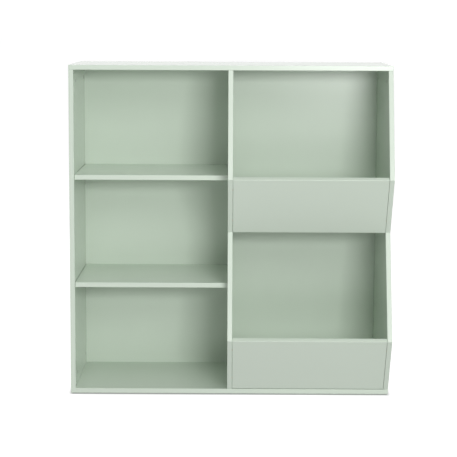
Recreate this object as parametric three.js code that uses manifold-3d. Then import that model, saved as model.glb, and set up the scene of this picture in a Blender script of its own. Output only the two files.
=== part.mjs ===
// Children's toy storage unit: three cubbies on the left, two open-top bins on the right.
// Flat-pack painted board, held by cam locks, bolts and dowels. Millimetres, +Z up.
// Origin: centre of the footprint, on the floor. The front faces -Y.

import * as THREE from 'three';
import { mergeVertices } from 'three/addons/utils/BufferGeometryUtils.js';
import Module from 'manifold-3d';

const wasm = await Module();
wasm.setup();

// ---------------------------------------------------------------- driving dimensions
const WIDTH = 800;            // over the side panels
const BOARD = 12;             // every painted board
const SIDE_HEIGHT = 800;      // side panels and divider, between base and top
const BODY_DEPTH = 320;       // front plane to rear edges
const GLIDE_HEIGHT = 3;       // feet under the base
const GLIDE_RADIUS = 10;
const GLIDE_INSET = 34;       // centre of a glide from the base's edges

const SHELF_RECESS = 8;       // left shelves behind the front plane
const SHELF_TOP_UPPER = 551.5;  // above the underside of the base
const SHELF_TOP_LOWER = 281;

const BIN_RUN = 88;           // how far a bin front leans out, horizontally
const BIN_RISE = 140;         // and vertically
const UPPER_BIN_FOOT_Y = 9;   // foot of the upper bin front, behind the front plane
const UPPER_BIN_FOOT_Z = 409.5; // above the underside of the base
const LOWER_BIN_FOOT_Y = 0;
const LOWER_BIN_FOOT_Z = BOARD;

const BACK_THICKNESS = 3;
const BACK_FACE = 310.5;      // front plane to the visible face of the back panels
const GROOVE_DEPTH = 4;
const GAP = 0.3;              // running gap round every piece that sits in a cut

const CAM_RADIUS = 6;
const CAM_DEPTH = 9.2;
const CAM_SETBACK = 29;       // cam centre from the end of its board
const CAM_FRONT = 57;         // cam centres behind the front plane, 7 x 32 mm apart
const CAM_REAR = 281;
const BOLT_AXIS = BOARD / 2;  // below the face that carries the cam
const BOLT_HEAD_RADIUS = 3;
const BOLT_NECK_RADIUS = 1.9;
const BOLT_SHANK_RADIUS = 3;
const BOLT_THREAD_RADIUS = 2.5;
const BOLT_THREAD = 8.5;      // length that screws into the top or base

const DOWEL_RADIUS = 3;
const DOWEL_IN_FACE = 8;      // length inside the upright
const DOWEL_IN_END = 16;      // length inside the shelf or bin front
const DOWEL_FRONT = 60;       // shelf dowels behind the front plane
const DOWEL_REAR = 260;
const BIN_DOWEL_LOW = 34;     // bin front dowels, up the slope from its foot
const BIN_DOWEL_HIGH = 130;

// ---------------------------------------------------------------- derived positions
const HALF = WIDTH / 2;
const Y0 = -(BODY_DEPTH - BIN_RUN) / 2;   // front plane, so that the footprint is centred
const Y_REAR = Y0 + BODY_DEPTH;
const Z_BASE = GLIDE_HEIGHT;
const Z_FLOOR = Z_BASE + BOARD;           // top face of the base
const Z_TOP = Z_FLOOR + SIDE_HEIGHT;      // underside of the top
const Z_HIGH = Z_TOP + BOARD;
const X_LEFT = -HALF + BOARD;             // inner face of the left side
const X_RIGHT = HALF - BOARD;
const X_DIV = BOARD / 2;                  // half the divider
const LEAN = Math.atan2(BIN_RUN, BIN_RISE);
const UP = [-Math.sin(LEAN), Math.cos(LEAN)];   // up a bin front, as (y, z)
const INTO = [Math.cos(LEAN), Math.sin(LEAN)];  // from its face into the bin
const FOOT_CUT = BOARD / Math.cos(LEAN);        // length of its level foot

// ---------------------------------------------------------------- geometry helpers
// Closed prism of a (y, z) outline between two x planes.
function prismX(outline, xa, xb) {
  const shape = new THREE.Shape(outline.map(([y, z]) => new THREE.Vector2(y, z)));
  const g = new THREE.ExtrudeGeometry(shape, { depth: 1, bevelEnabled: false });
  const p = g.attributes.position;
  for (let i = 0; i < p.count; i++) {
    const y = p.getX(i), z = p.getY(i), w = p.getZ(i);
    p.setXYZ(i, w > 0.5 ? xb : xa, y, z);
  }
  return g;
}

// Box with its faces exactly on the given planes.
function slab(xa, xb, ya, yb, za, zb) {
  const g = new THREE.BoxGeometry(1, 1, 1);
  const p = g.attributes.position;
  for (let i = 0; i < p.count; i++) {
    p.setXYZ(i, p.getX(i) < 0 ? xa : xb, p.getY(i) < 0 ? ya : yb, p.getZ(i) < 0 ? za : zb);
  }
  return g;
}

// Cylinder from one point to another. A hole's facets are pushed out so that its flats lie on the radius.
function hole(from, to, radius, sides = 16) {
  return rod(from, to, radius / Math.cos(Math.PI / sides), sides);
}
function rod(from, to, radius, sides = 16) {
  const a = new THREE.Vector3(...from), b = new THREE.Vector3(...to);
  const g = new THREE.CylinderGeometry(radius, radius, a.distanceTo(b), sides);
  const q = new THREE.Quaternion().setFromUnitVectors(new THREE.Vector3(0, 1, 0), b.clone().sub(a).normalize());
  g.applyQuaternion(q);
  g.translate((a.x + b.x) / 2, (a.y + b.y) / 2, (a.z + b.z) / 2);
  return g;
}

function solid(geometry) {
  const g = geometry.clone();
  g.deleteAttribute('normal');
  g.deleteAttribute('uv');
  const m = mergeVertices(g, 1e-4);
  return new wasm.Manifold(new wasm.Mesh({
    numProp: 3,
    vertProperties: Float32Array.from(m.attributes.position.array),
    triVerts: Uint32Array.from(m.index.array),
  }));
}

function toGeometry(manifold) {
  const mesh = manifold.getMesh();
  const g = new THREE.BufferGeometry();
  g.setAttribute('position', new THREE.BufferAttribute(new Float32Array(mesh.vertProperties), 3));
  g.setIndex(new THREE.BufferAttribute(new Uint32Array(mesh.triVerts), 1));
  g.computeVertexNormals();
  return g;
}

function cut(geometry, tools) {
  let body = solid(geometry);
  for (const tool of tools) body = body.subtract(solid(tool));
  return toGeometry(body);
}

// ---------------------------------------------------------------- materials
const paint = (hex, roughness = 0.45) => new THREE.MeshStandardMaterial({ color: hex, roughness, metalness: 0 });
const PAINT = 0xc2d2c2;
const BACK_PAINT = 0xbfd0bf;
const zinc = () => new THREE.MeshStandardMaterial({ color: 0xb4b6b2, roughness: 0.42, metalness: 0.85 });
const steel = () => new THREE.MeshStandardMaterial({ color: 0xc4c4be, roughness: 0.3, metalness: 0.95 });
const beech = () => new THREE.MeshStandardMaterial({ color: 0xc9a574, roughness: 0.75, metalness: 0 });
const plastic = () => new THREE.MeshStandardMaterial({ color: 0xe4e4df, roughness: 0.55, metalness: 0 });

const unit = new THREE.Group();
const carcass = new THREE.Group();
const fittings = new THREE.Group();
unit.add(carcass, fittings);

function add(group, name, geometry, material) {
  const mesh = new THREE.Mesh(geometry, material);
  mesh.name = name;
  group.add(mesh);
  return mesh;
}

// ---------------------------------------------------------------- uprights' outlines
const sideOutline = [
  [Y0, Z_FLOOR], [Y_REAR, Z_FLOOR], [Y_REAR, Z_TOP], [Y0, Z_TOP],
];
const upperFoot = [Y0 + UPPER_BIN_FOOT_Y, Z_BASE + UPPER_BIN_FOOT_Z];
const lowerFoot = [Y0 + LOWER_BIN_FOOT_Y, Z_BASE + LOWER_BIN_FOOT_Z];
const upperLip = [upperFoot[0] - BIN_RUN, upperFoot[1] + BIN_RISE];
const lowerLip = [lowerFoot[0] - BIN_RUN, lowerFoot[1] + BIN_RISE];
// The divider and the right side share one zig-zag front edge, flush with the bin fronts.
const binOutline = [
  lowerFoot, [Y_REAR, Z_FLOOR], [Y_REAR, Z_TOP], [Y0, Z_TOP], upperLip, upperFoot, lowerLip,
];

// ---------------------------------------------------------------- cam joints
// Each joint: the cam's face plane x, which way the cam faces, its depth position y, and which end.
const uprights = [
  { name: 'left', face: X_LEFT, out: 1 },
  { name: 'divider', face: -X_DIV, out: -1 },
  { name: 'right', face: X_RIGHT, out: -1 },
];
const joints = [];
for (const u of uprights) {
  for (const [row, y] of [['front', Y0 + CAM_FRONT], ['rear', Y0 + CAM_REAR]]) {
    joints.push({ ...u, row, y, end: 'top', plane: Z_TOP, dir: 1 });
    joints.push({ ...u, row, y, end: 'base', plane: Z_FLOOR, dir: -1 });
  }
}
const camCentre = (j) => j.plane - j.dir * CAM_SETBACK;
const boltX = (j) => j.face - j.out * BOLT_AXIS;

// Pocket for the cam and bore for the bolt in the upright.
function camCuts(upright) {
  const tools = [];
  for (const j of joints.filter((k) => k.name === upright)) {
    const z = camCentre(j);
    tools.push(hole([j.face + j.out * 1, j.y, z], [j.face - j.out * (CAM_DEPTH + GAP), j.y, z], CAM_RADIUS + GAP, 16));
    tools.push(hole([boltX(j), j.y, z + j.dir * 2], [boltX(j), j.y, j.plane + j.dir * 1], BOLT_SHANK_RADIUS + GAP, 8));
  }
  return tools;
}

// Blind holes for the bolts' threads in the top or the base.
function boltCuts(end) {
  return joints.filter((j) => j.end === end).map((j) =>
    hole([boltX(j), j.y, j.plane - j.dir * 1], [boltX(j), j.y, j.plane + j.dir * (BOLT_THREAD + GAP)], BOLT_THREAD_RADIUS + GAP, 8));
}

// ---------------------------------------------------------------- dowels
// Each dowel: the upright's face it enters, the way into the board (+1 or -1 in x), and its (y, z).
const dowels = [];
function shelfDowels(name, leftFace, rightFace, z) {
  for (const [row, y] of [['front', Y0 + DOWEL_FRONT], ['rear', Y0 + DOWEL_REAR]]) {
    dowels.push({ name: `${name}_dowel_left_${row}`, board: name, upright: leftFace, into: 1, y, z });
    dowels.push({ name: `${name}_dowel_right_${row}`, board: name, upright: rightFace, into: -1, y, z });
  }
}
const LEFT = { key: 'left', x: X_LEFT }, DIV_L = { key: 'divider', x: -X_DIV };
const DIV_R = { key: 'divider', x: X_DIV }, RIGHT = { key: 'right', x: X_RIGHT };
shelfDowels('upper_shelf', LEFT, DIV_L, Z_BASE + SHELF_TOP_UPPER - BOARD / 2);
shelfDowels('lower_shelf', LEFT, DIV_L, Z_BASE + SHELF_TOP_LOWER - BOARD / 2);
shelfDowels('upper_bin_floor', DIV_R, RIGHT, upperFoot[1] + BOARD / 2);
for (const [name, foot] of [['upper_bin_front', upperFoot], ['lower_bin_front', lowerFoot]]) {
  for (const [row, s] of [['low', BIN_DOWEL_LOW], ['high', BIN_DOWEL_HIGH]]) {
    const y = foot[0] + s * UP[0] + (BOARD / 2) * INTO[0];
    const z = foot[1] + s * UP[1] + (BOARD / 2) * INTO[1];
    dowels.push({ name: `${name}_dowel_left_${row}`, board: name, upright: DIV_R, into: 1, y, z });
    dowels.push({ name: `${name}_dowel_right_${row}`, board: name, upright: RIGHT, into: -1, y, z });
  }
}
const dowelHole = (d) => hole(
  [d.upright.x - d.into * (DOWEL_IN_FACE + GAP), d.y, d.z],
  [d.upright.x + d.into * (DOWEL_IN_END + GAP), d.y, d.z], DOWEL_RADIUS + GAP, 8);
const uprightDowelCuts = (key) => dowels.filter((d) => d.upright.key === key).map(dowelHole);
const boardDowelCuts = (name) => dowels.filter((d) => d.board === name).map(dowelHole);

// ---------------------------------------------------------------- back grooves
const GY0 = Y0 + BACK_FACE - GAP, GY1 = Y0 + BACK_FACE + BACK_THICKNESS + GAP;
const grooveUp = (face, into) => slab(
  Math.min(face, face + into * GROOVE_DEPTH) - (into > 0 ? 1 : 0),
  Math.max(face, face + into * GROOVE_DEPTH) + (into < 0 ? 1 : 0),
  GY0, GY1, Z_FLOOR - 1, Z_TOP + 1);

// ---------------------------------------------------------------- carcass
add(carcass, 'left_side_panel',
  cut(prismX(sideOutline, -HALF, X_LEFT), [grooveUp(X_LEFT, -1), ...camCuts('left'), ...uprightDowelCuts('left')]),
  paint(PAINT));
add(carcass, 'center_divider',
  cut(prismX(binOutline, -X_DIV, X_DIV), [grooveUp(-X_DIV, 1), grooveUp(X_DIV, -1), ...camCuts('divider'), ...uprightDowelCuts('divider')]),
  paint(PAINT));
add(carcass, 'right_side_panel',
  cut(prismX(binOutline, X_RIGHT, HALF), [grooveUp(X_RIGHT, 1), ...camCuts('right'), ...uprightDowelCuts('right')]),
  paint(PAINT));

add(carcass, 'top_panel',
  cut(slab(-HALF, HALF, Y0, Y_REAR, Z_TOP, Z_HIGH),
    [slab(X_LEFT - GROOVE_DEPTH, X_RIGHT + GROOVE_DEPTH, GY0, GY1, Z_TOP - 1, Z_TOP + GROOVE_DEPTH), ...boltCuts('top')]),
  paint(PAINT));
add(carcass, 'base_panel',
  cut(slab(-HALF, HALF, Y0, Y_REAR, Z_BASE, Z_FLOOR),
    [slab(X_LEFT - GROOVE_DEPTH, X_RIGHT + GROOVE_DEPTH, GY0, GY1, Z_FLOOR - GROOVE_DEPTH, Z_FLOOR + 1), ...boltCuts('base')]),
  paint(PAINT));

for (const [name, z] of [['upper_shelf', SHELF_TOP_UPPER], ['lower_shelf', SHELF_TOP_LOWER]]) {
  add(carcass, name,
    cut(slab(X_LEFT, -X_DIV, Y0 + SHELF_RECESS, Y0 + BACK_FACE - GAP, Z_BASE + z - BOARD, Z_BASE + z), boardDowelCuts(name)),
    paint(PAINT));
}

// Floor of the upper bin: its front edge is bevelled to lie against the leaning front.
const floorLow = upperFoot[0] + FOOT_CUT + GAP;
const floorHigh = floorLow - BOARD * Math.tan(LEAN);
add(carcass, 'upper_bin_floor',
  cut(prismX([
    [floorLow, upperFoot[1]], [Y0 + BACK_FACE - GAP, upperFoot[1]],
    [Y0 + BACK_FACE - GAP, upperFoot[1] + BOARD], [floorHigh, upperFoot[1] + BOARD],
  ], X_DIV, X_RIGHT), boardDowelCuts('upper_bin_floor')),
  paint(PAINT));

// Bin fronts: top edge square to the board, foot cut level. The lower one stands on the base.
function binFront(foot, lift) {
  const top = [foot[0] - BIN_RUN, foot[1] + BIN_RISE];
  const slope = Math.tan(LEAN);
  return prismX([
    [foot[0] - lift * slope, foot[1] + lift],
    [foot[0] + FOOT_CUT - lift * slope, foot[1] + lift],
    [top[0] + BOARD * INTO[0], top[1] + BOARD * INTO[1]],
    top,
  ], X_DIV, X_RIGHT);
}
add(carcass, 'upper_bin_front', cut(binFront(upperFoot, 0), boardDowelCuts('upper_bin_front')), paint(PAINT));
add(carcass, 'lower_bin_front', cut(binFront(lowerFoot, GAP), boardDowelCuts('lower_bin_front')), paint(PAINT));

// Back panels, sprung into the grooves of the uprights, top and base.
const TUCK = GROOVE_DEPTH - GAP;
for (const [name, xa, xb] of [['left_back_panel', X_LEFT, -X_DIV], ['right_back_panel', X_DIV, X_RIGHT]]) {
  add(carcass, name,
    slab(xa - TUCK, xb + TUCK, Y0 + BACK_FACE, Y0 + BACK_FACE + BACK_THICKNESS, Z_FLOOR - TUCK, Z_TOP + TUCK),
    paint(BACK_PAINT, 0.5));
}

// ---------------------------------------------------------------- fittings
// Cam lock. Local frame: +Z out of the board's face, the bolt comes in along +Y.
function camGeometry() {
  const body = rod([0, 0, -CAM_DEPTH], [0, 0, 0], CAM_RADIUS, 16);
  const pocket = hole([0, -2.2, -BOLT_AXIS], [0, 2.2, -BOLT_AXIS], BOLT_HEAD_RADIUS + GAP, 8);
  const neck = hole([0, 1.5, -BOLT_AXIS], [0, CAM_RADIUS + 1, -BOLT_AXIS], BOLT_NECK_RADIUS + GAP, 8);
  const mouth = hole([0, 0, -BOLT_AXIS], [0, -CAM_RADIUS - 1, -BOLT_AXIS], BOLT_HEAD_RADIUS + GAP, 8);
  // Curved slot that the bolt's neck runs through as the cam is turned from its mouth to locked.
  const ring = new THREE.Shape();
  ring.absarc(0, 0, CAM_RADIUS + 1, -Math.PI / 2, Math.PI / 2, false);
  ring.absarc(0, 0, 3.4, Math.PI / 2, -Math.PI / 2, true);
  const slot = new THREE.ExtrudeGeometry(ring, { depth: 2 * (BOLT_NECK_RADIUS + GAP), bevelEnabled: false, curveSegments: 5 });
  slot.translate(0, 0, -BOLT_AXIS - BOLT_NECK_RADIUS - GAP);
  const crossA = slab(-3.4, 3.4, -0.7, 0.7, -1.6, 1);
  const crossB = slab(-0.7, 0.7, -3.4, 3.4, -1.6, 1);
  return cut(body, [pocket, neck, mouth, slot, crossA, crossB]);
}
const cam = camGeometry();

// Bolt. Local frame: along +Y, the head at the cam's centre and the thread beyond the joint face.
function boltGeometry() {
  const end = CAM_SETBACK;
  const profile = [
    [0, -1.9], [2.2, -1.9], [BOLT_HEAD_RADIUS, -1.1], [BOLT_HEAD_RADIUS, 1.1], [BOLT_NECK_RADIUS, 1.9],
    [BOLT_NECK_RADIUS, 6.6], [BOLT_SHANK_RADIUS, 7.4], [BOLT_SHANK_RADIUS, end - GAP],
    [BOLT_THREAD_RADIUS, end - GAP + 0.5], [BOLT_THREAD_RADIUS, end + BOLT_THREAD - 1.2], [1.4, end + BOLT_THREAD], [0, end + BOLT_THREAD],
  ].map(([r, y]) => new THREE.Vector2(r, y));
  return new THREE.LatheGeometry(profile, 8);
}
const bolt = boltGeometry();

for (const j of joints) {
  const tag = `${j.name}_${j.end}_${j.row}`;
  const turn = new THREE.Group();
  // local +Z to the way the cam faces (world x), local +Y towards the joint face (world z)
  const zAxis = new THREE.Vector3(j.out, 0, 0), yAxis = new THREE.Vector3(0, 0, j.dir);
  const xAxis = new THREE.Vector3().crossVectors(yAxis, zAxis);
  turn.setRotationFromMatrix(new THREE.Matrix4().makeBasis(xAxis, yAxis, zAxis));
  turn.position.set(j.face, j.y, camCentre(j));
  fittings.add(turn);
  add(turn, `cam_${tag}`, cam, zinc());
  const b = add(turn, `bolt_${tag}`, bolt, steel());
  b.position.set(0, 0, -BOLT_AXIS);
}

for (const d of dowels) {
  const c = 1;
  const half = (DOWEL_IN_FACE + DOWEL_IN_END) / 2;
  const profile = [[0, -half], [DOWEL_RADIUS - c * 0.6, -half], [DOWEL_RADIUS, -half + c], [DOWEL_RADIUS, half - c], [DOWEL_RADIUS - c * 0.6, half], [0, half]]
    .map(([r, y]) => new THREE.Vector2(r, y));
  const m = add(fittings, d.name, new THREE.LatheGeometry(profile, 8), beech());
  m.rotation.z = -Math.PI / 2;
  m.position.set(d.upright.x + d.into * (DOWEL_IN_END - DOWEL_IN_FACE) / 2, d.y, d.z);
}

for (const [sx, side] of [[-1, 'left'], [1, 'right']]) {
  for (const [row, y] of [['front', Y0 + GLIDE_INSET], ['rear', Y_REAR - GLIDE_INSET]]) {
    const profile = [[0, 0], [GLIDE_RADIUS - 1, 0], [GLIDE_RADIUS, 1], [GLIDE_RADIUS, GLIDE_HEIGHT], [0, GLIDE_HEIGHT]]
      .map(([r, h]) => new THREE.Vector2(r, h));
    const g = new THREE.LatheGeometry(profile, 16);
    const p = g.attributes.position;   // stand the lathe's axis up, heights kept exact
    for (let i = 0; i < p.count; i++) p.setXYZ(i, p.getX(i), -p.getZ(i), p.getY(i));
    const m = add(fittings, `glide_${side}_${row}`, g, plastic());
    m.position.set(sx * (HALF - GLIDE_INSET), y, 0);
  }
}

export default unit;
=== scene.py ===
import math

import bpy
from mathutils import Matrix, Vector, geometry


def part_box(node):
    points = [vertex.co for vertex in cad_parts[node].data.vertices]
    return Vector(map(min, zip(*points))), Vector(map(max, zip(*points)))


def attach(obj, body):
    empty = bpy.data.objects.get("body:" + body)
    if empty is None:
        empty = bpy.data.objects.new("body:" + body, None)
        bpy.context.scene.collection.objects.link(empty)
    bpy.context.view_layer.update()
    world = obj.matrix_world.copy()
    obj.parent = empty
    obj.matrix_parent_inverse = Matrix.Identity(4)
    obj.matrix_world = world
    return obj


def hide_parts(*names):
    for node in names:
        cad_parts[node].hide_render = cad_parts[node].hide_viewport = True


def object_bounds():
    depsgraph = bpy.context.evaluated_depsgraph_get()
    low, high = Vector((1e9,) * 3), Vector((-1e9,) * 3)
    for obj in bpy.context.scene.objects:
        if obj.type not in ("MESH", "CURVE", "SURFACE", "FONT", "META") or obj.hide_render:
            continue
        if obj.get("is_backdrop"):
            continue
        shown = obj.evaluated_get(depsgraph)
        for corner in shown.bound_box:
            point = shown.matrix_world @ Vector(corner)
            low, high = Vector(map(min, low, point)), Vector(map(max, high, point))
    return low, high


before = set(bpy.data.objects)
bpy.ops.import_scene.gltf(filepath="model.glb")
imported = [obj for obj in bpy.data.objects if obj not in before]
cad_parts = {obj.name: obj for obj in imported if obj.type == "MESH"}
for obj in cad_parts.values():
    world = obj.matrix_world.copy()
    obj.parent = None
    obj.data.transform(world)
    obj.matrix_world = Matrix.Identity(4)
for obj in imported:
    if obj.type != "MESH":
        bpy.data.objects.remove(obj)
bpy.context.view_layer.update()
MM = 0.001

# ------------------------------------------------------------------ sizes repeated from the frame
T = 12 * MM                      # board
Z_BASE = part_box("base_panel")[0].z
Z_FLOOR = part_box("base_panel")[1].z
Z_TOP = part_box("top_panel")[0].z
Z_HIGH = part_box("top_panel")[1].z
Y0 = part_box("base_panel")[0].y   # front plane
Y_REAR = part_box("base_panel")[1].y
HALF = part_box("base_panel")[1].x
X_LEFT, X_RIGHT, X_DIV = -HALF + T, HALF - T, T / 2
RUN, RISE = 88 * MM, 140 * MM
LEAN = math.atan2(RUN, RISE)
FOOT_CUT = T / math.cos(LEAN)
UPPER_FOOT = (Y0 + 9 * MM, Z_BASE + 409.5 * MM)
LOWER_FOOT = (Y0, Z_FLOOR)
BACK_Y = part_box("left_back_panel")[0].y
BACK_T = 3 * MM
GAP = 0.3 * MM
ARRIS = 0.9 * MM                 # rounding of the boards' edges
SEAM = 0.45 * MM                 # hairline joint at each end of a shelf or bin front

# ------------------------------------------------------------------ camera, at the photo's viewpoint
cam_data = bpy.data.cameras.new("camera")
cam = bpy.data.objects.new("camera", cam_data)
bpy.context.scene.collection.objects.link(cam)
cam_data.sensor_width = 36.0
cam_data.lens = 125.994
cam.location = (0.00197, -4.06310, 0.95038)
cam.matrix_world = (
    Matrix.Translation(cam.location)
    @ Matrix.Rotation(math.radians(0.08912), 4, "Z")
    @ Matrix.Rotation(math.radians(90 - 7.61016), 4, "X")
    @ Matrix.Rotation(math.radians(0.25), 4, "Z")
)
bpy.context.scene.camera = cam


# ------------------------------------------------------------------ mesh helpers
def round_corners(outline, radius, steps=4):
    """outline is a counter-clockwise list of (u, v). Each corner becomes a short arc."""
    out = []
    n = len(outline)
    for i in range(n):
        p = Vector(outline[i])
        a = (Vector(outline[i - 1]) - p).normalized()
        b = (Vector(outline[(i + 1) % n]) - p).normalized()
        angle = a.angle(b)
        if angle > math.radians(178):
            out.append(p)
            continue
        d = radius / math.tan(angle / 2)
        bis = (a + b).normalized()
        centre = p + bis * (radius / math.sin(angle / 2))
        s, e = p + a * d - centre, p + b * d - centre
        a0 = math.atan2(s.y, s.x)
        turn = math.atan2(s.x * e.y - s.y * e.x, s.dot(e))
        for k in range(steps + 1):
            t = a0 + turn * k / steps
            out.append(centre + Vector((math.cos(t), math.sin(t))) * radius)
    return out


def inset(loop, d):
    """Moves every point of a counter-clockwise loop inwards by d, along its mitre."""
    n = len(loop)
    out = []
    for i in range(n):
        p, q, r = loop[i - 1], loop[i], loop[(i + 1) % n]
        e1, e2 = (q - p).normalized(), (r - q).normalized()
        n1, n2 = Vector((-e1.y, e1.x)), Vector((-e2.y, e2.x))
        m = n1 + n2
        out.append(q + m * (d / max(0.3, m.dot(n1) if m.length > 0 else 1)))
    return out


def new_object(name, verts, faces):
    mesh = bpy.data.meshes.new(name)
    mesh.from_pydata([tuple(v) for v in verts], [], faces)
    mesh.validate()
    mesh.update()
    obj = bpy.data.objects.new(name, mesh)
    bpy.context.scene.collection.objects.link(obj)
    return obj


def board_mesh(name, outline, thickness, to3d, arris=ARRIS, corner=ARRIS, steps=4):
    """A board: outline in (u, v), extruded by thickness along w, with rounded arrises. to3d maps (u, v, w) to the frame."""
    base = round_corners(outline, corner, steps)
    n = len(base)
    levels = []
    for k in range(steps + 1):
        t = math.radians(90) * k / steps
        levels.append((arris * (1 - math.sin(t)), arris * (1 - math.cos(t))))
    rings = [(d, w) for d, w in levels] + [(d, thickness - w) for d, w in reversed(levels)]
    verts, faces = [], []
    for d, w in rings:
        for p in inset(base, d):
            verts.append(to3d(p.x, p.y, w))
    for k in range(len(rings) - 1):
        for i in range(n):
            j = (i + 1) % n
            faces.append((k * n + i, k * n + j, (k + 1) * n + j, (k + 1) * n + i))
    last = (len(rings) - 1) * n
    cap = [Vector((p.x, p.y, 0)) for p in inset(base, rings[0][0])]
    for tri in geometry.tessellate_polygon([cap]):
        a, b, c = tri
        ab, ac = cap[b] - cap[a], cap[c] - cap[a]
        if ab.x * ac.y - ab.y * ac.x < 0:
            b, c = c, b
        faces.append((a, c, b))
        faces.append((last + a, last + b, last + c))
    obj = new_object(name, verts, faces)
    return obj


def prism_cutter(points, a, b, to3d):
    n = len(points)
    verts = [to3d(u, v, a) for u, v in points] + [to3d(u, v, b) for u, v in points]
    faces = [tuple(reversed(range(n))), tuple(range(n, 2 * n))]
    faces += [(i, (i + 1) % n, n + (i + 1) % n, n + i) for i in range(n)]
    return new_object("cutter", verts, faces)


def round_cutter(centre, axis, radius, depth, lip=0.0, sides=48):
    """A drill: from just outside the face at centre, going depth against axis, with a small countersink."""
    axis = Vector(axis)
    q = Vector((0, 0, 1)).rotation_difference(axis).to_matrix()
    rows = [(radius + lip + 0.001, 0.001), (radius + lip, 0.0), (radius, -lip), (radius, -depth)] if lip else [(radius, 0.001), (radius, -depth)]
    verts = []
    for r, h in rows:
        for i in range(sides):
            t = 2 * math.pi * i / sides
            verts.append(Vector(centre) + q @ Vector((r * math.cos(t), r * math.sin(t), h)))
    faces = []
    for k in range(len(rows) - 1):
        for i in range(sides):
            j = (i + 1) % sides
            faces.append((k * sides + j, k * sides + i, (k + 1) * sides + i, (k + 1) * sides + j))
    faces.append(tuple(range(sides)))
    faces.append(tuple(reversed(range((len(rows) - 1) * sides, len(rows) * sides))))
    return new_object("cutter", verts, faces)


def cut(obj, cutters):
    for c in cutters:
        bm_flip(c)
        m = obj.modifiers.new("cut", "BOOLEAN")
        m.operation, m.solver, m.object = "DIFFERENCE", "EXACT", c
    dg = bpy.context.evaluated_depsgraph_get()
    mesh = bpy.data.meshes.new_from_object(obj.evaluated_get(dg))
    obj.modifiers.clear()
    old = obj.data
    obj.data = mesh
    mesh.name = obj.name
    bpy.data.meshes.remove(old)
    for c in cutters:
        data = c.data
        bpy.data.objects.remove(c)
        bpy.data.meshes.remove(data)


def bm_flip(obj):
    """Makes a cutter's faces point outwards."""
    import bmesh
    bm = bmesh.new()
    bm.from_mesh(obj.data)
    bmesh.ops.recalc_face_normals(bm, faces=bm.faces)
    bm.to_mesh(obj.data)
    bm.free()


def mark_edges(obj, outline, thickness, from3d, arris=ARRIS):
    """Stores two vertex values: arris, 1 on the rounded edges, and edge, 1 on the board's narrow faces."""
    n = len(outline)
    segs = [(Vector(outline[i]), Vector(outline[(i + 1) % n])) for i in range(n)]
    mesh = obj.data
    a1 = mesh.attributes.new("arris", "FLOAT", "POINT")
    a2 = mesh.attributes.new("edge", "FLOAT", "POINT")
    v1, v2 = [], []
    for v in mesh.vertices:
        u, vv, w = from3d(v.co)
        p = Vector((u, vv))
        d = 1.0
        for s, e in segs:
            l = (e - s).length
            t = max(0.0, min(1.0, (p - s).dot(e - s) / (l * l)))
            d = min(d, (p - s - (e - s) * t).length)
        face = min(w, thickness - w)
        on = d < arris * 0.95 and face < arris * 0.95
        v1.append(1.0 if on else 0.0)
        v2.append(1.0 if d < arris * 0.3 else 0.0)
    a1.data.foreach_set("value", v1)
    a2.data.foreach_set("value", v2)


def finish_shading(obj):
    for p in obj.data.polygons:
        p.use_smooth = True
    # real corners, such as a groove's or a drilled hole's, stay sharp
    obj.data.set_sharp_from_angle(angle=math.radians(40))
    m = obj.modifiers.new("normals", "WEIGHTED_NORMAL")
    m.mode, m.weight, m.keep_sharp = "FACE_AREA", 50, True


# ------------------------------------------------------------------ materials
def material(name):
    m = bpy.data.materials.new(name)
    m.use_nodes = True
    nt = m.node_tree
    nt.nodes.clear()
    out = nt.nodes.new("ShaderNodeOutputMaterial")
    bsdf = nt.nodes.new("ShaderNodeBsdfPrincipled")
    nt.links.new(bsdf.outputs["BSDF"], out.inputs["Surface"])
    return m, nt, bsdf


def node(nt, kind, **values):
    n = nt.nodes.new(kind)
    for k, v in values.items():
        if hasattr(n, k) and k not in n.inputs:
            setattr(n, k, v)
        else:
            n.inputs[k].default_value = v
    return n


def ramp(nt, source, lo, hi, a, b):
    r = nt.nodes.new("ShaderNodeMapRange")
    r.inputs["From Min"].default_value, r.inputs["From Max"].default_value = lo, hi
    r.inputs["To Min"].default_value, r.inputs["To Max"].default_value = a, b
    nt.links.new(source, r.inputs["Value"])
    return r.outputs["Result"]


def srgb(r, g, b):
    f = lambda c: (c / 255 / 12.92) if c / 255 <= 0.04045 else ((c / 255 + 0.055) / 1.055) ** 2.4
    return (f(r), f(g), f(b), 1.0)


PAINT = (0.618, 0.703, 0.606)     # linear


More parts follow.
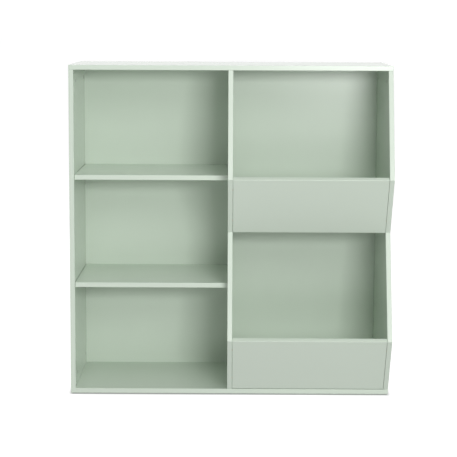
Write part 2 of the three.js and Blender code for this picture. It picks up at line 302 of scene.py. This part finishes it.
def paint_material(name, seed, tone=1.0, rough=0.19, peel=1.0):
    """Sprayed satin lacquer on fibreboard: a faint mottle, orange peel, fibre swell on the sawn edges and paler rubbed arrises."""
    m, nt, bsdf = material(name)
    L = nt.links
    tc = node(nt, "ShaderNodeTexCoord")
    mp = nt.nodes.new("ShaderNodeMapping")
    mp.inputs["Location"].default_value = (seed * 1.7, seed * 0.9, seed * 2.3)
    L.new(tc.outputs["Object"], mp.inputs["Vector"])
    cloud = node(nt, "ShaderNodeTexNoise", Scale=5.0, Detail=3.0, Roughness=0.55)
    speck = node(nt, "ShaderNodeTexNoise", Scale=900.0, Detail=2.0, Roughness=0.6)
    orange = node(nt, "ShaderNodeTexNoise", Scale=420.0, Detail=2.0, Roughness=0.5)
    swell = node(nt, "ShaderNodeTexNoise", Scale=150.0, Detail=3.0, Roughness=0.6)
    rub = node(nt, "ShaderNodeTexNoise", Scale=38.0, Detail=4.0, Roughness=0.65)
    for n in (cloud, speck, orange, swell, rub):
        L.new(mp.outputs["Vector"], n.inputs["Vector"])
    arris = node(nt, "ShaderNodeAttribute", attribute_name="arris")
    edge = node(nt, "ShaderNodeAttribute", attribute_name="edge")

    # colour: cloud +-0.5 %, speck +-0.8 %, paler where the arris is rubbed
    c1 = ramp(nt, cloud.outputs["Fac"], 0.3, 0.7, 0.995, 1.005)
    c2 = ramp(nt, speck.outputs["Fac"], 0.3, 0.7, 0.992, 1.008)
    mul = nt.nodes.new("ShaderNodeMath"); mul.operation = "MULTIPLY"
    L.new(c1, mul.inputs[0]); L.new(c2, mul.inputs[1])
    tint = nt.nodes.new("ShaderNodeMix"); tint.data_type = "RGBA"; tint.blend_type = "MULTIPLY"
    tint.inputs["Factor"].default_value = 1.0
    tint.inputs["A"].default_value = (*[min(1.0, c * tone) for c in PAINT], 1)
    comb = nt.nodes.new("ShaderNodeCombineColor")
    for k in ("Red", "Green", "Blue"):
        L.new(mul.outputs[0], comb.inputs[k])
    L.new(comb.outputs["Color"], tint.inputs["B"])
    worn = nt.nodes.new("ShaderNodeMix"); worn.data_type = "RGBA"
    wear = nt.nodes.new("ShaderNodeMath"); wear.operation = "MULTIPLY"
    L.new(arris.outputs["Fac"], wear.inputs[0])
    L.new(ramp(nt, rub.outputs["Fac"], 0.42, 0.62, 0.12, 0.5), wear.inputs[1])
    L.new(wear.outputs[0], worn.inputs["Factor"])
    L.new(tint.outputs["Result"], worn.inputs["A"])
    worn.inputs["B"].default_value = (*[min(1.0, c * tone * 1.12 + 0.03) for c in PAINT], 1)
    L.new(worn.outputs["Result"], bsdf.inputs["Base Color"])

    # roughness: satin, mottled, rougher on the sawn edges
    r1 = ramp(nt, rub.outputs["Fac"], 0.3, 0.7, rough - 0.008, rough + 0.008)
    radd = nt.nodes.new("ShaderNodeMath"); radd.operation = "MULTIPLY_ADD"
    L.new(edge.outputs["Fac"], radd.inputs[0]); radd.inputs[1].default_value = 0.07
    L.new(r1, radd.inputs[2])
    L.new(radd.outputs[0], bsdf.inputs["Roughness"])

    # bump: orange peel everywhere, fibre swell on the edges
    sw = nt.nodes.new("ShaderNodeMath"); sw.operation = "MULTIPLY"
    L.new(swell.outputs["Fac"], sw.inputs[0])
    L.new(ramp(nt, edge.outputs["Fac"], 0.0, 1.0, 0.04, 1.2), sw.inputs[1])
    h = nt.nodes.new("ShaderNodeMath"); h.operation = "ADD"
    L.new(orange.outputs["Fac"], h.inputs[0]); L.new(sw.outputs[0], h.inputs[1])
    bump = node(nt, "ShaderNodeBump", Strength=0.35, Distance=0.00003 * peel)
    L.new(h.outputs[0], bump.inputs["Height"])
    L.new(bump.outputs["Normal"], bsdf.inputs["Normal"])
    bsdf.inputs["IOR"].default_value = 1.5
    return m


def metal_material(name, colour, rough, seed, scale=2500.0, bump_d=0.00002, streak=None):
    m, nt, bsdf = material(name)
    L = nt.links
    tc = node(nt, "ShaderNodeTexCoord")
    mp = nt.nodes.new("ShaderNodeMapping")
    mp.inputs["Location"].default_value = (seed, seed * 0.3, seed * 1.1)
    if streak:
        mp.inputs["Scale"].default_value = streak
    L.new(tc.outputs["Object"], mp.inputs["Vector"])
    a = node(nt, "ShaderNodeTexNoise", Scale=scale, Detail=3.0, Roughness=0.6)
    b = node(nt, "ShaderNodeTexNoise", Scale=scale * 0.12, Detail=3.0, Roughness=0.6)
    for n in (a, b):
        L.new(mp.outputs["Vector"], n.inputs["Vector"])
    cr = nt.nodes.new("ShaderNodeValToRGB")
    cr.color_ramp.elements[0].position, cr.color_ramp.elements[1].position = 0.32, 0.7
    cr.color_ramp.elements[0].color = (*[c * 0.80 for c in colour], 1)
    cr.color_ramp.elements[1].color = (*colour, 1)
    L.new(b.outputs["Fac"], cr.inputs["Fac"])
    L.new(cr.outputs["Color"], bsdf.inputs["Base Color"])
    L.new(ramp(nt, b.outputs["Fac"], 0.3, 0.7, rough + 0.08, rough - 0.05), bsdf.inputs["Roughness"])
    bsdf.inputs["Metallic"].default_value = 1.0
    bump = node(nt, "ShaderNodeBump", Strength=0.5, Distance=bump_d)
    L.new(a.outputs["Fac"], bump.inputs["Height"])
    L.new(bump.outputs["Normal"], bsdf.inputs["Normal"])
    return m


def beech_material(name):
    m, nt, bsdf = material(name)
    L = nt.links
    tc = node(nt, "ShaderNodeTexCoord")
    mp = nt.nodes.new("ShaderNodeMapping")
    mp.inputs["Scale"].default_value = (40.0, 900.0, 900.0)   # grain along the dowels, which lie along X
    L.new(tc.outputs["Object"], mp.inputs["Vector"])
    grain = node(nt, "ShaderNodeTexNoise", Scale=1.0, Detail=4.0, Roughness=0.65)
    fleck = node(nt, "ShaderNodeTexVoronoi", Scale=2.2)
    L.new(mp.outputs["Vector"], grain.inputs["Vector"]); L.new(mp.outputs["Vector"], fleck.inputs["Vector"])
    cr = nt.nodes.new("ShaderNodeValToRGB")
    cr.color_ramp.elements[0].position, cr.color_ramp.elements[1].position = 0.35, 0.68
    cr.color_ramp.elements[0].color = srgb(178, 134, 88)
    cr.color_ramp.elements[1].color = srgb(222, 186, 138)
    L.new(grain.outputs["Fac"], cr.inputs["Fac"])
    mix = nt.nodes.new("ShaderNodeMix"); mix.data_type = "RGBA"
    L.new(ramp(nt, fleck.outputs["Distance"], 0.0, 0.25, 0.35, 0.0), mix.inputs["Factor"])
    L.new(cr.outputs["Color"], mix.inputs["A"])
    mix.inputs["B"].default_value = srgb(150, 104, 66)
    L.new(mix.outputs["Result"], bsdf.inputs["Base Color"])
    L.new(ramp(nt, grain.outputs["Fac"], 0.3, 0.7, 0.78, 0.62), bsdf.inputs["Roughness"])
    bump = node(nt, "ShaderNodeBump", Strength=0.6, Distance=0.00005)
    L.new(grain.outputs["Fac"], bump.inputs["Height"])
    L.new(bump.outputs["Normal"], bsdf.inputs["Normal"])
    return m


def nylon_material(name):
    m, nt, bsdf = material(name)
    L = nt.links
    tc = node(nt, "ShaderNodeTexCoord")
    a = node(nt, "ShaderNodeTexNoise", Scale=1800.0, Detail=2.0, Roughness=0.5)
    b = node(nt, "ShaderNodeTexNoise", Scale=120.0, Detail=3.0, Roughness=0.6)
    for n in (a, b):
        L.new(tc.outputs["Object"], n.inputs["Vector"])
    cr = nt.nodes.new("ShaderNodeValToRGB")
    cr.color_ramp.elements[0].position, cr.color_ramp.elements[1].position = 0.35, 0.7
    cr.color_ramp.elements[0].color = srgb(204, 204, 198)
    cr.color_ramp.elements[1].color = srgb(228, 228, 223)
    L.new(b.outputs["Fac"], cr.inputs["Fac"])
    L.new(cr.outputs["Color"], bsdf.inputs["Base Color"])
    L.new(ramp(nt, b.outputs["Fac"], 0.3, 0.7, 0.58, 0.46), bsdf.inputs["Roughness"])
    bump = node(nt, "ShaderNodeBump", Strength=0.5, Distance=0.00003)
    L.new(a.outputs["Fac"], bump.inputs["Height"])
    L.new(bump.outputs["Normal"], bsdf.inputs["Normal"])
    bsdf.inputs["Subsurface Weight"].default_value = 0.0
    return m


# ------------------------------------------------------------------ boards
YZ = lambda x0: ((lambda u, v, w: Vector((x0 + w, u, v))), (lambda c: (c.y, c.z, c.x - x0)))
XY = lambda z0: ((lambda u, v, w: Vector((u, v, z0 + w))), (lambda c: (c.x, c.y, c.z - z0)))
XZ = lambda y1: ((lambda u, v, w: Vector((u, y1 - w, v))), (lambda c: (c.x, c.z, y1 - c.y)))


def rect(a0, a1, b0, b1):
    return [(a0, b0), (a1, b0), (a1, b1), (a0, b1)]


def box_cutter(x0, x1, y0, y1, z0, z1):
    return prism_cutter(rect(x0, x1, y0, y1), z0, z1, lambda u, v, w: Vector((u, v, w)))


G0, G1 = BACK_Y - GAP, BACK_Y + BACK_T + GAP
GROOVE = 4 * MM
CAM_R = 6 * MM


def upright_cuts(face, out, cams):
    """Groove for the back panel in one face, and the pockets of the cams that sit in it."""
    a, b = sorted((face + out * 1 * MM, face - out * GROOVE))
    cuts = [box_cutter(a, b, G0, G1, Z_FLOOR - 0.01, Z_TOP + 0.01)]
    for n in cams:
        lo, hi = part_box(n)
        cuts.append(round_cutter((face, (lo.y + hi.y) / 2, (lo.z + hi.z) / 2), (out, 0, 0), CAM_R + GAP, 9.6 * MM, lip=0.25 * MM))
    return cuts


def cams_of(name):
    return [n for n in sorted(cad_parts) if n.startswith(f"cam_{name}_")]


def make(name, outline, maps, thickness, cutters, mat, **kw):
    obj = board_mesh(name + "_board", outline, thickness, maps[0], **kw)
    if cutters:
        cut(obj, cutters)
    mark_edges(obj, outline, thickness, maps[1], kw.get("arris", ARRIS))
    finish_shading(obj)
    obj.data.materials.clear()
    obj.data.materials.append(mat)
    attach(obj, "root")
    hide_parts(name)
    return obj


side = rect(Y0, Y_REAR, Z_FLOOR, Z_TOP)
UL = (UPPER_FOOT[0] - RUN, UPPER_FOOT[1] + RISE)
LL = (LOWER_FOOT[0] - RUN, LOWER_FOOT[1] + RISE)
zigzag = [LOWER_FOOT, (Y_REAR, Z_FLOOR), (Y_REAR, Z_TOP), (Y0, Z_TOP), UL, UPPER_FOOT, LL]

make("left_side_panel", side, YZ(-HALF), T, upright_cuts(X_LEFT, 1, cams_of("left")), paint_material("paint_left_side", 1))
make("center_divider", zigzag, YZ(-X_DIV), T, upright_cuts(-X_DIV, -1, cams_of("divider")) + upright_cuts(X_DIV, 1, []), paint_material("paint_divider", 2))
make("right_side_panel", zigzag, YZ(X_RIGHT), T, upright_cuts(X_RIGHT, -1, cams_of("right")), paint_material("paint_right_side", 3))
make("top_panel", rect(-HALF, HALF, Y0, Y_REAR), XY(Z_TOP), T,
     [box_cutter(X_LEFT - GROOVE, X_RIGHT + GROOVE, G0, G1, Z_TOP - 0.001, Z_TOP + GROOVE)], paint_material("paint_top", 4))
make("base_panel", rect(-HALF, HALF, Y0, Y_REAR), XY(Z_BASE), T,
     [box_cutter(X_LEFT - GROOVE, X_RIGHT + GROOVE, G0, G1, Z_FLOOR - GROOVE, Z_FLOOR + 0.001)], paint_material("paint_base", 5))
for i, n in enumerate(("upper_shelf", "lower_shelf")):
    lo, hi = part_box(n)
    make(n, rect(lo.x + SEAM, hi.x - SEAM, lo.y, hi.y), XY(lo.z), T, [], paint_material("paint_" + n, 6 + i))
lo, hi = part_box("upper_bin_floor")
low_y = UPPER_FOOT[0] + FOOT_CUT + GAP
make("upper_bin_floor", [(low_y, lo.z), (hi.y, lo.z), (hi.y, hi.z), (low_y - T * math.tan(LEAN), hi.z)],
     YZ(X_DIV), X_RIGHT - X_DIV, [], paint_material("paint_bin_floor", 8))


def bin_front(name, foot, lift, seed):
    top = (foot[0] - RUN, foot[1] + RISE)
    s = math.tan(LEAN)
    outline = [(foot[0] - lift * s, foot[1] + lift), (foot[0] + FOOT_CUT - lift * s, foot[1] + lift),
               (top[0] + T * math.cos(LEAN), top[1] + T * math.sin(LEAN)), top]
    # the outline is the board's section, so its length runs along X
    make(name, outline, YZ(X_DIV + SEAM * 1.5), X_RIGHT - X_DIV - 3 * SEAM, [], paint_material("paint_" + name, seed))


bin_front("upper_bin_front", UPPER_FOOT, 0.0, 9)
bin_front("lower_bin_front", LOWER_FOOT, GAP + 0.9 * MM, 10)
for i, n in enumerate(("left_back_panel", "right_back_panel")):
    lo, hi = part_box(n)
    make(n, rect(lo.x, hi.x, lo.z, hi.z), XZ(hi.y), BACK_T, [], paint_material("paint_" + n, 12 + i, tone=1.03, rough=0.24, peel=0.9), arris=0.4 * MM, corner=0.5 * MM)


# ------------------------------------------------------------------ fittings
zinc = metal_material("cam_zinc_cast", (0.27, 0.29, 0.265), 0.58, 3.0)
steel = metal_material("bolt_zinc_plate", (0.60, 0.60, 0.57), 0.28, 5.0, streak=(1, 1, 6))
beech = beech_material("dowel_beech_grain")
nylon = nylon_material("glide_nylon")


def cam_piece(node_name, mat):
    """Die-cast cam: chamfered drum with a cross recess and a raised arrow-free rim, mouth and neck slot as on the frame's own."""
    lo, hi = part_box(node_name)
    cy, cz = (lo.y + hi.y) / 2, (lo.z + hi.z) / 2
    if "left" in node_name:
        face, out = hi.x, 1
    else:
        face, out = lo.x, -1
    up = 1 if "_top_" in node_name else -1
    # local (a, b, c): c out of the face, b towards the bolt, a across
    def to(a, b, c):
        return Vector((face + out * c, cy + (a if out * up > 0 else -a), cz + up * b))
    sides = 48
    verts, faces = [], []
    ring = lambda r, c: [to(r * math.cos(2 * math.pi * i / sides), r * math.sin(2 * math.pi * i / sides), c) for i in range(sides)]
    rows = [ring(5.1 * MM, -9.2 * MM), ring(6.0 * MM, -8.6 * MM), ring(6.0 * MM, -0.45 * MM), ring(5.75 * MM, -0.12 * MM), ring(5.4 * MM, 0.0), ring(5.0 * MM, -0.05 * MM), ring(4.75 * MM, -0.3 * MM)]
    for r in rows:
        verts += r
    for k in range(len(rows) - 1):
        for i in range(sides):
            j = (i + 1) % sides
            faces.append((k * sides + i, k * sides + j, (k + 1) * sides + j, (k + 1) * sides + i))
    faces.append(tuple(reversed(range(sides))))
    # face plate with the cross recess: outer loop of 48 points, inner plus-shaped loop
    start = (len(rows) - 1) * sides
    w, l = 0.75 * MM, 3.5 * MM
    plus = [(w, w), (w, l), (-w, l), (-w, w), (-l, w), (-l, -w), (-w, -w), (-w, -l), (w, -l), (w, -w), (l, -w), (l, w)]
    pr = round_corners(list(reversed(plus))[::-1], 0.18 * MM, 2)
    base = len(verts)
    n = len(pr)
    for p in pr:
        verts.append(to(p.x, p.y, -0.3 * MM))
    for p in pr:
        verts.append(to(p.x * 0.86, p.y * 0.86, -1.9 * MM))
    outer = [Vector((4.75 * MM * math.cos(2 * math.pi * i / sides), 4.75 * MM * math.sin(2 * math.pi * i / sides), 0)) for i in range(sides)]
    inner = [Vector((p.x, p.y, 0)) for p in pr]
    idx = [start + i for i in range(sides)] + [base + i for i in range(n)]
    pts = outer + inner
    for a, b, c in geometry.tessellate_polygon([outer, inner]):
        ab, ac = pts[b] - pts[a], pts[c] - pts[a]
        if ab.x * ac.y - ab.y * ac.x < 0:
            b, c = c, b
        faces.append((idx[a], idx[b], idx[c]))
    for i in range(n):
        j = (i + 1) % n
        faces.append((base + j, base + i, base + n + i, base + n + j))
    floor = [Vector((p.x * 0.86, p.y * 0.86, 0)) for p in pr]
    for a, b, c in geometry.tessellate_polygon([floor]):
        ab, ac = floor[b] - floor[a], floor[c] - floor[a]
        if ab.x * ac.y - ab.y * ac.x < 0:
            b, c = c, b
        faces.append((base + n + a, base + n + b, base + n + c))
    obj = new_object(node_name + "_casting", verts, faces)
    bm_flip(obj)
    # mouth, neck slot and head pocket, cut as on the frame's cams
    bolt_c = -6.0 * MM
    def drill(b0, b1, r):
        s = 24
        vs = []
        for b in (b0, b1):
            for i in range(s):
                t = 2 * math.pi * i / s
                vs.append(to(r * math.cos(t), b, bolt_c + r * math.sin(t)))
        fs = [(i, (i + 1) % s, s + (i + 1) % s, s + i) for i in range(s)] + [tuple(range(s)), tuple(range(s, 2 * s))]
        return new_object("cutter", vs, fs)
    arc = [(7 * MM * math.cos(t), 7 * MM * math.sin(t)) for t in [math.radians(-90 + 180 * k / 16) for k in range(17)]]
    arc += [(3.4 * MM * math.cos(t), 3.4 * MM * math.sin(t)) for t in [math.radians(90 - 180 * k / 16) for k in range(17)]]
    slot = prism_cutter(arc, bolt_c - 2.2 * MM, bolt_c + 2.2 * MM, to)
    cut(obj, [drill(-2.2 * MM, 2.2 * MM, 3.3 * MM), drill(1.5 * MM, 7 * MM, 2.2 * MM), drill(0.0, -7 * MM, 3.3 * MM), slot])
    for p in obj.data.polygons:
        p.use_smooth = True
    obj.data.set_sharp_from_angle(angle=math.radians(32))
    obj.data.materials.clear()
    obj.data.materials.append(mat)
    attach(obj, "root")
    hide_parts(node_name)


for n in sorted(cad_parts):
    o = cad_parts[n]
    if n.startswith("cam_"):
        cam_piece(n, zinc)
        continue
    mat = steel if n.startswith("bolt_") else beech if "dowel" in n else nylon if n.startswith("glide") else None
    if mat:
        o.data.materials.clear()
        o.data.materials.append(mat)

# ------------------------------------------------------------------ stage: pale floor and soft studio light
floor = new_object("floor", [(-60, -60, 0), (60, -60, 0), (60, 60, 0), (-60, 60, 0)], [(0, 1, 2, 3)])
fm, fnt, fb = material("floor_pale")
fn = node(fnt, "ShaderNodeTexNoise", Scale=0.7, Detail=2.0, Roughness=0.5)
ftc = node(fnt, "ShaderNodeTexCoord")
fnt.links.new(ftc.outputs["Object"], fn.inputs["Vector"])
fcr = fnt.nodes.new("ShaderNodeValToRGB")
fcr.color_ramp.elements[0].color = (0.500, 0.500, 0.500, 1)
fcr.color_ramp.elements[1].color = (0.515, 0.515, 0.515, 1)
fnt.links.new(fn.outputs["Fac"], fcr.inputs["Fac"])
fnt.links.new(fcr.outputs["Color"], fb.inputs["Base Color"])
fb.inputs["Roughness"].default_value = 0.8
fb.inputs["Specular IOR Level"].default_value = 0.0
fb.inputs["Emission Color"].default_value = (1, 1, 1, 1)
# painted contact shadow: the floor's glow is cut down over the strip that the base stands over, so the 3 mm gap under
# it reads as a dark line
fxyz = fnt.nodes.new("ShaderNodeSeparateXYZ")
fnt.links.new(ftc.outputs["Object"], fxyz.inputs[0])


def fmath(op, a, b):
    n = fnt.nodes.new("ShaderNodeMath")
    n.operation = op
    for i, v in enumerate((a, b)):
        if isinstance(v, (int, float)):
            n.inputs[i].default_value = v
        else:
            fnt.links.new(v, n.inputs[i])
    return n.outputs[0]


painted_shadow_x = ramp(fnt, fmath("ABSOLUTE", fxyz.outputs["X"], 0.0), HALF - 0.004, HALF + 0.010, 1.0, 0.0)
painted_shadow_y = ramp(fnt, fmath("ABSOLUTE", fmath("SUBTRACT", fxyz.outputs["Y"], (Y0 + Y_REAR) / 2), 0.0),
            (Y_REAR - Y0) / 2 - 0.004, (Y_REAR - Y0) / 2 + 0.010, 1.0, 0.0)
# painted shadow: the floor's emission falls from 0.87 to 0.13 inside the base's footprint
fnt.links.new(fmath("SUBTRACT", 0.87, fmath("MULTIPLY", fmath("MULTIPLY", painted_shadow_x, painted_shadow_y), 0.74)), fb.inputs["Emission Strength"])
floor.data.materials.append(fm)
floor.visible_diffuse = False      # the light it throws back is the lower half of the world
floor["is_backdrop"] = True

# The world: white behind the unit, brighter overhead for diffuse light, with the floor's bounce from below.
SKY_ZENITH, SKY_FLOOR, SKY_GLOSS, SKY_BACK = 0.54, 0.485, 1.16, 1.06
world = bpy.data.worlds.new("studio")
bpy.context.scene.world = world
world.use_nodes = True
wnt = world.node_tree
bg = wnt.nodes["Background"]
bg.inputs["Color"].default_value = (1, 1, 1, 1)


def wmath(op, a, b):
    n = wnt.nodes.new("ShaderNodeMath")
    n.operation = op
    for i, v in enumerate((a, b)):
        if isinstance(v, (int, float)):
            n.inputs[i].default_value = v
        else:
            wnt.links.new(v, n.inputs[i])
    return n.outputs[0]


wtc = wnt.nodes.new("ShaderNodeTexCoord")
wxyz = wnt.nodes.new("ShaderNodeSeparateXYZ")
wnt.links.new(wtc.outputs["Generated"], wxyz.inputs[0])
height = wmath("MAXIMUM", wxyz.outputs["Z"], 0.0)
above = wmath("MULTIPLY", wmath("POWER", height, 2.0), SKY_ZENITH)
below = wmath("MULTIPLY", wmath("LESS_THAN", wxyz.outputs["Z"], 0.0), SKY_FLOOR)
diffuse = wmath("ADD", above, below)
lp = wnt.nodes.new("ShaderNodeLightPath")
strength = wmath("ADD",
                 wmath("MULTIPLY", lp.outputs["Is Diffuse Ray"], diffuse),
                 wmath("ADD", wmath("MULTIPLY", lp.outputs["Is Glossy Ray"], SKY_GLOSS),
                       wmath("MULTIPLY", lp.outputs["Is Camera Ray"], SKY_BACK)))
wnt.links.new(strength, bg.inputs["Strength"])


def area(name, location, target, size, size_y, power, colour=(1, 1, 1)):
    """A softbox with its long side level."""
    data = bpy.data.lights.new(name, "AREA")
    data.shape, data.size, data.size_y, data.energy, data.color = "RECTANGLE", size, size_y, power, colour
    obj = bpy.data.objects.new(name, data)
    bpy.context.scene.collection.objects.link(obj)
    p = Vector(location)
    z = (p - Vector(target)).normalized()
    x = Vector((0, 0, 1)).cross(z).normalized()
    m = Matrix((x, z.cross(x), z)).transposed().to_4x4()
    m.translation = p
    obj.matrix_world = m
    obj.visible_camera = False
    return obj


area("key_upper", (0.88, -3.96, 1.19), (0, 0, 0.45), 1.05, 0.34, 51)
area("key_lower", (0.88, -3.96, 0.84), (0, 0, 0.45), 1.05, 0.30, 16)
area("front_high", (0.87, -4.63, 2.50), (0, 0, 0.42), 3.6, 1.2, 39)
area("over", (0.4, -2.3, 3.0), (0, 0, 0.42), 2.4, 1.2, 27)
area("rear_fill", (-2.9, 2.3, 1.9), (0, 0.1, 0.4), 2.0, 1.2, 40)

scene = bpy.context.scene
scene.view_settings.view_transform = "Standard"
scene.view_settings.look = "None"
scene.view_settings.exposure = 0.0
scene.view_settings.gamma = 1.0

lo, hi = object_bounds()
